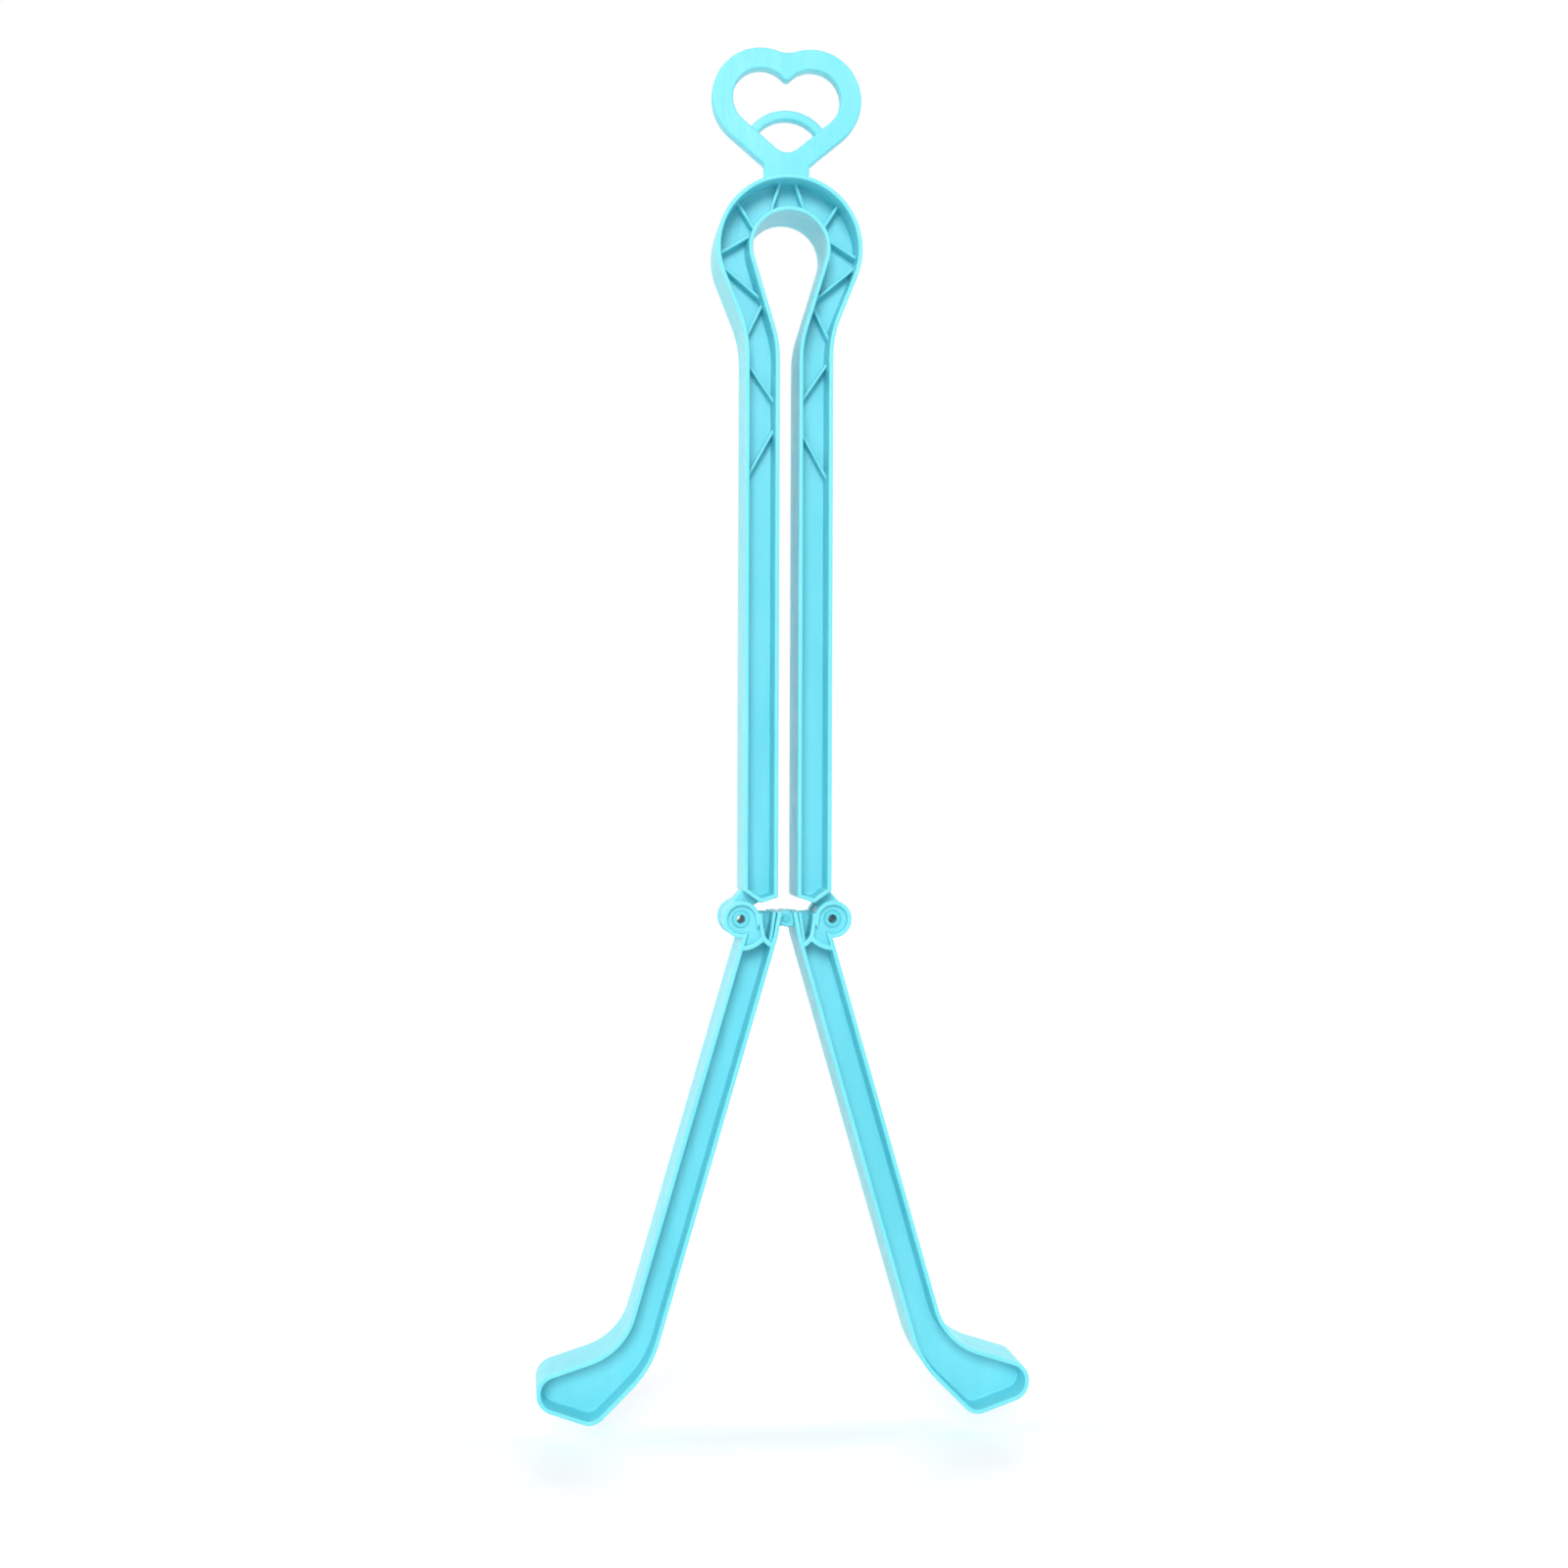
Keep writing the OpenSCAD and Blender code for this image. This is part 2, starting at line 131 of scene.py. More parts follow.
# %% Arcs and mirror images


def arc(centre, radius, start, end, steps):
    """Points on an arc, its angles in degrees."""
    angles = [math.radians(start + (end - start) * k / steps) for k in range(steps + 1)]
    return [Vector((centre[0] + radius * math.cos(a), centre[1] + radius * math.sin(a))) for a in angles]


def round_outline(centre, radius):
    return lambda inset: arc(centre, radius - inset, 0, 360, 72)[:-1]


def shape(corners):
    return lambda inset: outline(corners, inset)


def mirrored(corners):
    return [(-x, z, r) for x, z, r in reversed(corners)]


print("a disc:", len(round_outline((0, 0), 5)(0)), "points")

# %% [markdown]
# ## Rounded edges
#
# A polished mould leaves no sharp edge, and the light on a moulded part is mostly the light on its small
# roundings. A solid here is an outline swept through its depth as a row of steps (inset, y). At both ends the
# steps follow a small arc inwards, which rounds the edge. A cutter is the same thing turned round. It is
# narrowest at the floor of a recess, where the mould leaves a fillet, and it flares at the mouth, which
# rounds the rim. The sides of a recess lean by a fraction of a millimetre, because that draft lets the part
# leave its mould. Steps are better here than Blender's Bevel modifier, because the radius stays exact on
# thin walls.

# %% Rounded edges
EDGE_STEPS = 3
PAST_FACE = 1.0


def quarter():
    return [math.radians(90 * k / EDGE_STEPS) for k in range(EDGE_STEPS + 1)]


def edge_in(inset, y, radius, towards):
    """Steps from a flat end out to the side, round a radius. The side runs on along y, towards 1 or -1."""
    return [(inset + radius * (1 - math.sin(t)), y + towards * radius * (1 - math.cos(t))) for t in quarter()]


def slab_steps(y0, y1, edge):
    return edge_in(0, y0, edge, 1) + edge_in(0, y1, edge, -1)[::-1]


def mouth_steps(wall, face, rim):
    """The flared mouth of a cutter, and on past the face."""
    flare = [(wall - rim * (1 - math.cos(t)), face - rim + rim * math.sin(t)) for t in quarter()]
    return flare + [(wall - rim, face + PAST_FACE)]


def pocket_steps(floor, face, wall, foot, rim, draft=0.0):
    """From the floor of a recess up to its mouth."""
    return edge_in(wall + draft, floor, foot, 1) + mouth_steps(wall, face, rim)


def through_steps(half, rim):
    """Right through a solid of that half depth, with a mouth at each end."""
    mouth = mouth_steps(0, half, rim)
    return [(inset, -y) for inset, y in reversed(mouth)] + mouth


print("steps of a slab 2 mm deep:", [(round(inset, 2), round(y, 2)) for inset, y in slab_steps(-1, 1, 0.3)])

# %% [markdown]
# ## Meshes
#
# Every mesh here is written as plain points and faces. Points that fall together are merged, and all faces
# are turned outwards, because the Boolean modifier further down only works well on closed, clean solids.

# %% Meshes
MERGE_WITHIN = 1e-4


def tidy_mesh(made):
    """Merge doubled points and turn all faces outwards."""
    work = bmesh.new()
    work.from_mesh(made.data)
    bmesh.ops.remove_doubles(work, verts=work.verts, dist=MERGE_WITHIN)
    bmesh.ops.recalc_face_normals(work, faces=work.faces)
    work.to_mesh(made.data)
    work.free()


def mesh_object(name, points, faces, edges=()):
    mesh = bpy.data.meshes.new(name)
    mesh.from_pydata(points, edges, faces)
    made = bpy.data.objects.new(name, mesh)
    bpy.context.scene.collection.objects.link(made)
    return made


print("points within", MERGE_WITHIN, "mm of each other are merged")

# %% [markdown]
# ## Solids from steps
#
# At each step the outline is a ring of points, and each ring is joined to the next by a band of faces. The
# first and last rings are closed with one face each. This gives a closed solid with only the faces that it
# needs, and the thickness of every wall stays under control.

# %% Solids from steps


def sweep(name, ring_at, steps):
    """A closed solid from the rings that ring_at draws at the inset of each step."""
    points, faces = [], []
    for inset, y in steps:
        points += [(p.x, y, p.y) for p in ring_at(inset)]
    n = len(points) // len(steps)
    for level in range(len(steps) - 1):
        a, b = level * n, (level + 1) * n
        faces += [(a + k, a + (k + 1) % n, b + (k + 1) % n, b + k) for k in range(n)]
    faces += [tuple(range(n)), tuple(range(len(points) - n, len(points)))]
    made = mesh_object(name, points, faces)
    tidy_mesh(made)
    return made


def slab(name, ring_at, y0, y1, edge=0.3):
    return sweep(name, ring_at, slab_steps(y0, y1, edge))


def sunk(name, ring_at, steps, side):
    """A cutter for the front of a piece where side is -1, and for its back where it is 1."""
    return sweep(name, ring_at, [(inset, side * y) for inset, y in steps])


def on_both_sides(make, y0, y1):
    """The same solid in front of mid-depth and behind it."""
    return [make(-y1, -y0), make(y0, y1)]


trial = slab("trial", shape(square), 0, 5)
print("a slab of that square:", len(trial.data.polygons), "faces")

# %% [markdown]
# ## Joining solids
#
# Overlapping solids aren't one moulding until their hidden insides are gone. Blender's Boolean modifier does
# that, and its Manifold solver keeps a closed mesh closed. The result is read from the evaluated object and
# replaces the mesh, so no modifier is left.

# %% Joining solids


def plain_mesh(made):
    """Take what the modifiers made as the object's own mesh."""
    graph = bpy.context.evaluated_depsgraph_get()
    mesh = bpy.data.meshes.new_from_object(made.evaluated_get(graph))
    made.modifiers.clear()
    made.data = mesh


def combine(base, tools, operation):
    for tool in tools:
        modifier = base.modifiers.new("combine", "BOOLEAN")
        modifier.operation = operation
        modifier.solver = "MANIFOLD"
        modifier.object = tool
        plain_mesh(base)
        bpy.data.objects.remove(tool)
    return base


def join(base, *tools):
    return combine(base, tools, "UNION")


def carve(base, *tools):
    return combine(base, tools, "DIFFERENCE")


join(trial, slab("trial disc", round_outline((10, 5), 3), 1, 4))
print("the slab with a disc let into its side:", len(trial.data.polygons), "faces")
bpy.data.objects.remove(trial)

# %% [markdown]
# ## Sizes
#
# These are the sizes of the CAD model in millimetres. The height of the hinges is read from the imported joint.
# Names ending in _R are radii, and those ending in _Y are measured from mid-depth towards a face. A place
# written as (x, z) is seen from the front.

# %% Sizes
HALF_DEPTH = 10.0
WALL = 1.2
WEB = 1.8
EDGE = 0.3
FOOT_FILLET = 0.5
DRAFT = 0.2
PIVOT_Z = 1000 * next(j["pos_m"][2] for j in frame["joints"] if j["name"] == "left_leg_fold")
LINK = 13.2
ARCH_Z = PIVOT_Z + 191.9
ARCH_R, HOLE_R, BEND_R = 21.0, 10.6, 30.0
ARM_IN, ARM_OUT = 2.8, 12.6
ARM_MID = (ARM_IN + ARM_OUT) / 2
PIN_R, PIN_HOLE_R = 2.5, 1.2
TONGUE_R, TONGUE_Y = 5.0, 4.0
CHEEK_R = 5.3
CHEEK_NEAR_Y, CHEEK_FAR_Y = 4.3, 7.8
print("hinges at", round(PIVOT_Z, 3), "mm, arch at", round(ARCH_Z, 3), "mm")

# %% [markdown]
# ## Node helper
#
# Materials and Geometry Nodes are both trees of nodes. One helper adds a node, sets its properties and fills
# or links its inputs, so that each line below says one thing.

# %% Node helper


def add_node(tree, kind, inputs=None, **settings):
    """Add a node, set its properties, and set or link its inputs, given by name or by number."""
    node = tree.nodes.new(kind)
    for name, value in settings.items():
        setattr(node, name, value)
    for name, value in (inputs or {}).items():
        socket = node.inputs[name]
        if isinstance(value, bpy.types.NodeSocket):
            tree.links.new(value, socket)
        else:
            socket.default_value = value
    return node


def linear(hex_colour):
    """An sRGB hex colour as the linear values that shaders take."""
    values = [int(hex_colour[k:k + 2], 16) / 255 for k in (1, 3, 5)]
    return (*(v / 12.92 if v <= 0.04045 else ((v + 0.055) / 1.055) ** 2.4 for v in values), 1.0)


print("pale cyan in linear values:", [round(v, 3) for v in linear("#7ee0ec")])

# %% [markdown]
# ## Patterns with a real size
#
# Four patterns keep the plastic from looking like a flat colour: faint flow marks along the strips, uneven
# gloss, hairline scuffs from being pushed into boots, and the fine grain of the mould. Each one is a Noise
# Texture whose scale comes from the size of its spots in millimetres. The real grain is 0.1 mm and too fine
# to show, so it is drawn coarser.

# %% Patterns with a real size
FLOW_MM, CLOUD_MM, SCUFF_MM, GRAIN_MM = 11.0, 3.8, 0.35, 0.5
ALONG_Z, HAIRLINE = (1.0, 1.0, 0.22), (1.0, 1.0, 0.03)


def pattern_scale(size_mm):
    """The scale of a noise whose spots are about that size, as Object coordinates are in metres."""
    return 1000 / size_mm


def noise(tree, place, size_mm, stretch=(1.0, 1.0, 1.0), turn=(0.0, 0.0, 0.0), detail=3.0, distortion=0.0):
    """Soft spots of a real size, stretched along one axis if that axis has a small number."""
    mapped = add_node(tree, "ShaderNodeMapping", {"Vector": place, "Scale": stretch, "Rotation": turn})
    spots = add_node(tree, "ShaderNodeTexNoise",
                     {"Vector": mapped.outputs[0], "Scale": pattern_scale(size_mm), "Detail": detail,
                      "Distortion": distortion})
    return spots.outputs["Fac"]


def between(tree, value, low, high, start, end):
    """Map value from low..high to start..end."""
    return add_node(tree, "ShaderNodeMapRange", {"Value": value, "From Min": low, "From Max": high,
                                                 "To Min": start, "To Max": end}).outputs[0]


print("scales:", [round(pattern_scale(size)) for size in (FLOW_MM, CLOUD_MM, SCUFF_MM, GRAIN_MM)])

# %% [markdown]
# ## Plastic
#
# The shaper is injection-moulded polypropylene with a satin surface, coloured right through. Thin walls of it
# let a little light in, so the shader has some subsurface scattering, which keeps the recesses a clear cyan
# where paint would go grey. Seen along the surface it mirrors the white surroundings, which gives the walls
# their pale edge. A scuff is both duller than the surface round it and sunk into it, so one pattern drives
# the roughness and the bump.

# %% Plastic
BUMP_STRENGTH, BUMP_M = 0.5, 0.00008
PLASTIC_IOR = 1.49
LIGHT_REACH_M, LIGHT_REACH_RGB = 0.0015, (0.35, 0.9, 1.0)


def moulded_polypropylene(name, pale, deep, roughness, sheen):
    """Satin moulded polypropylene. pale and deep are the ends of its faint flow marks."""
    material = bpy.data.materials.new(name)
    material.use_nodes = True
    tree = material.node_tree
    shader = tree.nodes["Principled BSDF"]
    place = add_node(tree, "ShaderNodeTexCoord").outputs["Object"]
    flow = noise(tree, place, FLOW_MM, stretch=ALONG_Z, distortion=0.6)
    ramp = add_node(tree, "ShaderNodeValToRGB", {"Fac": flow})
    for stop, position, colour in zip(ramp.color_ramp.elements, (0.35, 0.7), (deep, pale)):
        stop.position, stop.color = position, linear(colour)
    tree.links.new(ramp.outputs["Color"], shader.inputs["Base Color"])
    clouds = noise(tree, place, CLOUD_MM, detail=4.0)
    gloss = between(tree, clouds, 0.3, 0.7, roughness - 0.05, roughness + 0.07)
    hairs = noise(tree, place, SCUFF_MM, stretch=HAIRLINE, turn=(0.0, 0.12, 0.0), detail=1.0)
    scuffs = between(tree, hairs, 0.6, 0.68, 0.0, 0.2)
    worn = add_node(tree, "ShaderNodeMath", {0: gloss, 1: scuffs}, operation="ADD").outputs[0]
    tree.links.new(worn, shader.inputs["Roughness"])
    grain = noise(tree, place, GRAIN_MM, detail=2.0)
    height = add_node(tree, "ShaderNodeMath", {0: grain, 1: scuffs}, operation="SUBTRACT").outputs[0]
    bump = add_node(tree, "ShaderNodeBump", {"Height": height, "Strength": BUMP_STRENGTH, "Distance": BUMP_M})
    tree.links.new(bump.outputs[0], shader.inputs["Normal"])
    shader.inputs["IOR"].default_value = PLASTIC_IOR
    shader.inputs["Specular IOR Level"].default_value = sheen
    shader.inputs["Subsurface Weight"].default_value = 0.25
    shader.inputs["Subsurface Radius"].default_value = LIGHT_REACH_RGB
    shader.inputs["Subsurface Scale"].default_value = LIGHT_REACH_M
    return material


# Injection-moulded in a polished mould: pale cyan with a soft satin sheen
moulded = moulded_polypropylene("moulded cyan polypropylene", "#7ee0ec", "#71dbe7", 0.34, 0.5)
# The same plastic from a coarser mould: a shade deeper and duller, so that the pins' ends stand out
pin_plastic = moulded_polypropylene("moulded pin polypropylene", "#74d7e4", "#66cfde", 0.40, 0.1)
print("plastics:", moulded.name, "and", pin_plastic.name)

# %% [markdown]
# ## Handle
#
# The arch and the arms are one strip folded into a hairpin. Its section is an H: two deep walls joined by a
# thin web at mid-depth, open to the front and to the back. The outline is drawn once and used three times,
# for the outside and for the recess on each face. Each arm's lower end is cut to a blunt point, whose slopes
# keep clear of the round cheeks below.

# %% Handle
ARM_END_GAP = 1.7
END_SLOPE, END_RISE, END_CORNER_R = math.radians(35), math.radians(18), 0.8
OUTER_LEAN, INNER_LEAN = math.radians(22), math.radians(17)


def arm_end_z(x):
    """Height of the arm's slanted end over x."""
    return PIVOT_Z + (CHEEK_R + ARM_END_GAP + (x - LINK) * math.sin(END_SLOPE)) / math.cos(END_SLOPE)


def arch_side(radius, arm_x, lean):
    """Corners from the top of an arm to the top of the arch."""
    shoulder = radius * math.tan(lean / 2)
    bend_z = ARCH_Z - shoulder - (radius - arm_x) / math.tan(lean)
    return [(arm_x, bend_z, BEND_R), (radius, ARCH_Z - shoulder, radius), (radius, ARCH_Z + radius, radius)]


def recesses(corners):
    """The cutters for the front and the back of an H section."""
    steps = pocket_steps(WEB / 2, HALF_DEPTH, WALL, FOOT_FILLET, EDGE, DRAFT)
    return [sunk("recess", shape(corners), steps, side) for side in (-1, 1)]


inner_end_z = arm_end_z(ARM_MID) + (ARM_MID - ARM_IN) * math.tan(END_RISE)
inner_end = [(ARM_IN, inner_end_z, END_CORNER_R), (ARM_MID, arm_end_z(ARM_MID), 0)]
inner_side = arch_side(HOLE_R, ARM_IN, INNER_LEAN)[::-1] + inner_end
outer_side = [(ARM_OUT, arm_end_z(ARM_OUT), END_CORNER_R)] + arch_side(ARCH_R, ARM_OUT, OUTER_LEAN)
handle_corners = outer_side + mirrored(outer_side) + mirrored(inner_side) + inner_side

handle = slab("handle", shape(handle_corners), -HALF_DEPTH, HALF_DEPTH, EDGE)
carve(handle, *recesses(handle_corners))
print("handle strip:", len(handle.data.polygons), "faces")

# %% [markdown]
# ## Zigzag ribs
#
# Thin ribs zigzag across the recess round the arch, where the strip bends each time the handle is squeezed.
# In the arch both ends of a rib are given as angles. Further down each end is given by its distance from the
# arm's edge and its drop below the arch's centre. Every rib runs on into the walls, so that it joins them.

# %% Zigzag ribs
RIB_W, RIB_Y, RIB_EDGE = 1.0, 4.5, 0.35
ARCH_RIBS = ((85, 57), (44, 30), (-5, 30))
ARM_RIBS = (((7, 4), (5.4, 13.5)), ((-0.6, 25), (4.6, 15.5)), ((-0.6, 31.5), (0.6, 44)),
            ((-0.6, 66), (0.6, 50.5)))


def on_arch(radius, angle):
    return Vector((radius * math.cos(math.radians(angle)), ARCH_Z + radius * math.sin(math.radians(angle))))


def rib_lines():
    """Both ends of each rib, past the outer and the inner edge of the strip."""
    lines = [(on_arch(ARCH_R, outer), on_arch(HOLE_R, inner)) for outer, inner in ARCH_RIBS]
    for (outer, outer_drop), (inner, inner_drop) in ARM_RIBS:
        lines.append((Vector((ARM_OUT + outer, ARCH_Z - outer_drop)),
                      Vector((ARM_IN + inner, ARCH_Z - inner_drop))))
    lines = [(a + (a - b).normalized() * WALL, b + (b - a).normalized() * WALL) for a, b in lines]
    return lines + [(Vector((-a.x, a.y)), Vector((-b.x, b.y))) for a, b in lines]


print("ribs on both arms:", len(rib_lines()))

# %% [markdown]
# The ribs are one bar that repeats along a path, so Geometry Nodes place them. The tree gets a mesh of loose
# edges, one for each rib. Its first half puts a point at the middle of each edge and keeps the edge's
# direction and length there, as the points themselves don't know them.

# %% Points on the edges
KEPT = {"along": "FLOAT_VECTOR", "length": "FLOAT"}


def edge_middles(tree, lines):
    """A point at the middle of each edge, with the edge's direction and length stored on it."""
    ends = add_node(tree, "GeometryNodeInputMeshEdgeVertices").outputs
    along = add_node(tree, "ShaderNodeVectorMath", {0: ends["Position 2"], 1: ends["Position 1"]},
                     operation="SUBTRACT").outputs[0]
    length = add_node(tree, "ShaderNodeVectorMath", {0: along}, operation="LENGTH").outputs["Value"]
    for name, value in (("along", along), ("length", length)):
        kept = add_node(tree, "GeometryNodeStoreNamedAttribute", {"Geometry": lines, "Name": name},
                        data_type=KEPT[name], domain="EDGE")
        tree.links.new(value, next(s for s in kept.inputs if s.name == "Value" and s.enabled))
        lines = kept.outputs[0]
    return add_node(tree, "GeometryNodeMeshToPoints", {"Mesh": lines}, mode="EDGES").outputs[0]


def kept_value(tree, name):
    return add_node(tree, "GeometryNodeInputNamedAttribute", {"Name": name}, data_type=KEPT[name]).outputs[0]


print("each point keeps:", KEPT)

# %% [markdown]
# The second half makes one straight bar with rounded edges and puts an instance of it on each point, turned
# and stretched to fit the edge. The instances are made real at the end, so that the Boolean modifier can cut
# and join them.

# %% Tree of bars
ROUNDING_POINTS = 3


def tree_sockets(tree):
    face = tree.interface
    face.new_socket("Geometry", in_out="INPUT", socket_type="NodeSocketGeometry")
    face.new_socket("Geometry", in_out="OUTPUT", socket_type="NodeSocketGeometry")
    for name in ("Width", "Depth", "Rounding"):
        face.new_socket(name, in_out="INPUT", socket_type="NodeSocketFloat")


def straight_bar(tree, given):
    """A bar of length 1 along X, with rounded edges."""
    profile = add_node(tree, "GeometryNodeCurvePrimitiveQuadrilateral",
                       {"Width": given["Depth"], "Height": given["Width"]})
    rounded = add_node(tree, "GeometryNodeFilletCurve",
                       {"Curve": profile.outputs[0], "Radius": given["Rounding"], "Count": ROUNDING_POINTS},
                       mode="POLY")
    line = add_node(tree, "GeometryNodeCurvePrimitiveLine", {"Start": (-0.5, 0, 0), "End": (0.5, 0, 0)})
    bar = add_node(tree, "GeometryNodeCurveToMesh",
                   {"Curve": line.outputs[0], "Profile Curve": rounded.outputs[0], "Fill Caps": True})
    return bar.outputs[0]


def bars_tree(material):
    """A tree that puts a rounded bar along every edge of a mesh."""
    tree = bpy.data.node_groups.new("bars along edges", "GeometryNodeTree")
    tree_sockets(tree)
    given = tree.nodes.new("NodeGroupInput").outputs
    middles = edge_middles(tree, given["Geometry"])
    facing = add_node(tree, "FunctionNodeAlignRotationToVector",
                      {"Vector": kept_value(tree, "along")}, axis="X", pivot_axis="Y")
    size = add_node(tree, "ShaderNodeCombineXYZ", {"X": kept_value(tree, "length"), "Y": 1.0, "Z": 1.0})
    placed = add_node(tree, "GeometryNodeInstanceOnPoints",
                      {"Points": middles, "Instance": straight_bar(tree, given),
                       "Rotation": facing.outputs[0], "Scale": size.outputs[0]})
    real = add_node(tree, "GeometryNodeRealizeInstances", {0: placed.outputs[0]})
    coated = add_node(tree, "GeometryNodeSetMaterial", {"Geometry": real.outputs[0], "Material": material})
    result = tree.nodes.new("NodeGroupOutput")
    tree.links.new(coated.outputs[0], result.inputs[0])
    return tree


rib_tree = bars_tree(moulded)
print("tree of bars:", len(rib_tree.nodes), "nodes")

# %% [markdown]
# The tree's named inputs get the ribs' sizes from the modifier. The bars are then cut to the strip's outline,
# half a wall in from its edge, so that no end shows outside, and joined to the strip.

# %% Ribs in the recess


def bars(name, lines, tree, sizes):
    """A separate solid for each line, made by the tree with those sizes."""
    points = [(p.x, 0, p.y) for ends in lines for p in ends]
    made = mesh_object(name, points, [], [(2 * k, 2 * k + 1) for k in range(len(lines))])
    modifier = made.modifiers.new("bars", "NODES")
    modifier.node_group = tree
    for item in tree.interface.items_tree:
        if item.in_out == "INPUT" and item.name in sizes:
            modifier[item.identifier] = float(sizes[item.name])
    plain_mesh(made)
    tidy_mesh(made)
    return made


def half_a_wall_in(inset):
    return outline(handle_corners, WALL / 2 + inset)


ribs = bars("ribs", rib_lines(), rib_tree, {"Width": RIB_W, "Depth": 2 * RIB_Y, "Rounding": RIB_EDGE})
combine(ribs, [slab("rib limit", half_a_wall_in, -RIB_Y - 1, RIB_Y + 1)], "INTERSECT")
print("ribs:", len(ribs.data.polygons), "faces, from", [round(v, 2) for v in ribs.bound_box[0]],
      "to", [round(v, 2) for v in ribs.bound_box[6]])
join(handle, ribs)

# %% [markdown]
# ## Hanging ring
#
# The ring is a flat heart 4.5 mm thick. Its outside and its hole are the same form at two sizes: two round
# lobes, straight sides that run down to a point, and a soft dip between the lobes. Its curves are arcs that
# touch each other, so all points follow from the radii.

# %% Heart
SLOPE = math.radians(40)
LOBE_R, LOBE_X, BAND = 14.4, 7.3, 6.0
NECK_X, NECK_H = 6.5, 4.4
RING_Z = (ARCH_Z + ARCH_R + NECK_H + LOBE_R * math.cos(SLOPE)
          + (LOBE_X + LOBE_R * math.sin(SLOPE) - NECK_X) * math.tan(SLOPE))
LOBE_STEPS, DIP_STEPS, TIP_STEPS = 36, 10, 14


def heart(radius, tip_r, dip_r):
    """The heart's points, counter-clockwise from the right end of its lower point."""
    dip_z = math.sqrt((radius + dip_r) ** 2 - LOBE_X ** 2)
    touch = math.degrees(math.atan2(dip_z, -LOBE_X))
    side_x, side_z = LOBE_X + radius * math.sin(SLOPE), -radius * math.cos(SLOPE)
    tip_z = side_z - side_x * math.tan(SLOPE) + tip_r / math.cos(SLOPE)
    low = math.degrees(SLOPE) - 90
    points = arc((LOBE_X, 0), radius, low, touch, LOBE_STEPS)
    points += arc((0, dip_z), dip_r, touch - 180, -touch, DIP_STEPS)[1:-1]
    points += arc((-LOBE_X, 0), radius, 180 - touch, 180 - low, LOBE_STEPS)
    points += arc((0, tip_z), tip_r, 180 - low, 360 + low, TIP_STEPS)
    return [p + Vector((0, RING_Z)) for p in points]


def heart_side_z(x):
    """Height of the outer straight side of the heart over x."""
    return RING_Z - LOBE_R * math.cos(SLOPE) + (x - LOBE_X - LOBE_R * math.sin(SLOPE)) * math.tan(SLOPE)


print("ring centre at", round(RING_Z, 2), "mm, its top at", round(RING_Z + LOBE_R, 2), "mm")

# %% [markdown]
# A short neck joins the ring to the arch. Its corners have small fillets, as sharp inner corners would crack
# where the shaper hangs. The neck is drawn down into the arch's wall and up into the ring, so that both
# joints are hidden. A curved bar crosses the ring's hole and is set back a little from the ring's faces.

# %% Hanging ring
RING_Y, RING_EDGE = 2.25, 0.55
OUTER_TIP_R, OUTER_DIP_R = 2.0, 8.0
HOLE_TIP_R, HOLE_DIP_R = 5.0, 1.5
BAR_R, BAR_W, BAR_DROP, BAR_EDGE, BAR_SET_BACK = 13.5, 2.8, 16.9, 0.7, 0.3
BAR_START, BAR_END, BAR_STEPS = 27, 153, 40
ROOT_START, ROOT_END, ROOT_STEPS = 88, 62, 6
LOW_FLARE_X, LOW_FLARE_DROP, LOW_FILLET, LOW_DROP = 9.5, 2.35, 1.6, 1.1  # drops below the arch's top
HIGH_FLARE_X, HIGH_FLARE_RISE, HIGH_FILLET = 9.6, 0.1, 1.2
INSIDE_RING = ((7.5, 14.4), (0.5, 16.4))  # drops below the ring's centre

arch_top = ARCH_Z + ARCH_R
neck_root = arc((0, ARCH_Z), ARCH_R - WALL / 2, ROOT_START, ROOT_END, ROOT_STEPS)
neck_half = [
    *((p.x, p.y, 0) for p in neck_root),
    (LOW_FLARE_X, arch_top - LOW_FLARE_DROP, 0),
    (NECK_X, arch_top - LOW_DROP, LOW_FILLET),
    (NECK_X, heart_side_z(NECK_X), HIGH_FILLET),
    (HIGH_FLARE_X, heart_side_z(HIGH_FLARE_X) + HIGH_FLARE_RISE, 0),
    *((x, RING_Z - drop, 0) for x, drop in INSIDE_RING)]


def ring_outside(inset):
    return heart(LOBE_R - inset, OUTER_TIP_R - inset, OUTER_DIP_R + inset)


def ring_hole(inset):
    return heart(LOBE_R - BAND - inset, HOLE_TIP_R - inset, HOLE_DIP_R + inset)


def cross_bar():
    centre = (0, RING_Z - BAR_DROP)
    points = arc(centre, BAR_R, BAR_START, BAR_END, BAR_STEPS)
    points += arc(centre, BAR_R - BAR_W, BAR_END, BAR_START, BAR_STEPS)
    half = RING_Y - BAR_SET_BACK
    return slab("bar", shape([(p.x, p.y, 0) for p in points]), -half, half, BAR_EDGE)


ring = slab("ring", ring_outside, -RING_Y, RING_Y, RING_EDGE)
join(ring, slab("neck", shape(neck_half + mirrored(neck_half)), -RING_Y, RING_Y, RING_EDGE))
carve(ring, sweep("ring hole", ring_hole, through_steps(RING_Y, RING_EDGE)))
join(ring, cross_bar())
print("ring:", len(ring.data.polygons), "faces")
join(handle, ring)

# %% [markdown]
# ## Tongues
#
# Under each arm a tongue 8 mm thick runs down between the leg's cheeks. Its round end has the eye that turns
# on the side pin. The tongue is a flat plate from the arm's end wall to a disc, and its corners lie in the
# middle of that wall or just inside the disc, where the join hides them.

# %% Tongues
RUNNING_FIT = 0.05
DISC_ARC_R = TONGUE_R - 0.01
RIGHT_SWEEP, LEFT_START, LEFT_END = 60, 135, 160
MIDDLE_OF_DISC = (-1.0, -1.0)


